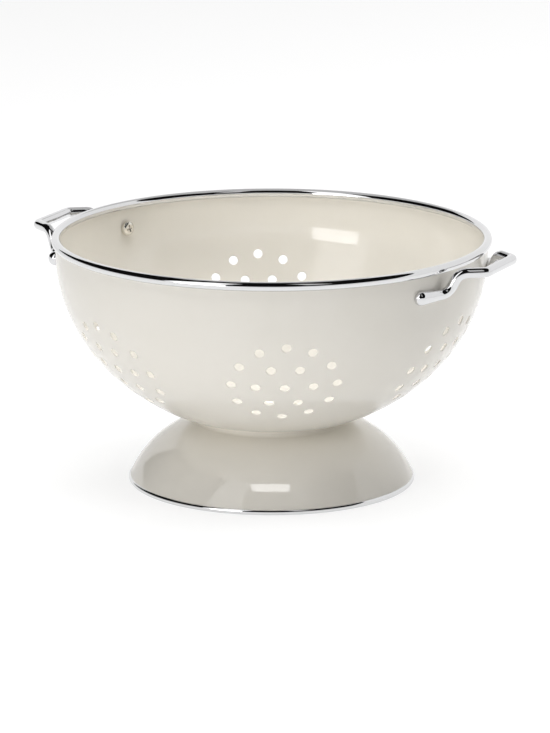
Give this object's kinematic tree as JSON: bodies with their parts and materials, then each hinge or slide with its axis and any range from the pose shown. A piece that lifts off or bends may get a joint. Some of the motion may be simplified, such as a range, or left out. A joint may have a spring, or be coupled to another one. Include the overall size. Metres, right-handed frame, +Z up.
{
  "type": "colander",
  "caption": "Footed kitchen colander: enamelled steel bowl with clusters of round drain holes, bright rolled rim, domed foot and a pair of bright side handles.",
  "frame": {"origin": "middle of the foot's underside, on the table", "axes": "+Z up, +X through the middle of the two handles, +Y across them"},
  "size_m": [0.322, 0.28, 0.1605],
  "materials": {
    "cream_enamel": "gloss enamel",
    "chrome": "polished",
    "screw_steel": "bright nickel plate"
  },
  "bodies": {
    "root": {"bowl": "cream_enamel", "rim_bead": "chrome", "foot": "cream_enamel", "foot_bead": "chrome", "handle_right": "chrome", "handle_left": "chrome", "screw_right_back": "screw_steel", "screw_right_front": "screw_steel", "screw_left_back": "screw_steel", "screw_left_front": "screw_steel"}
  },
  "joints": []
}
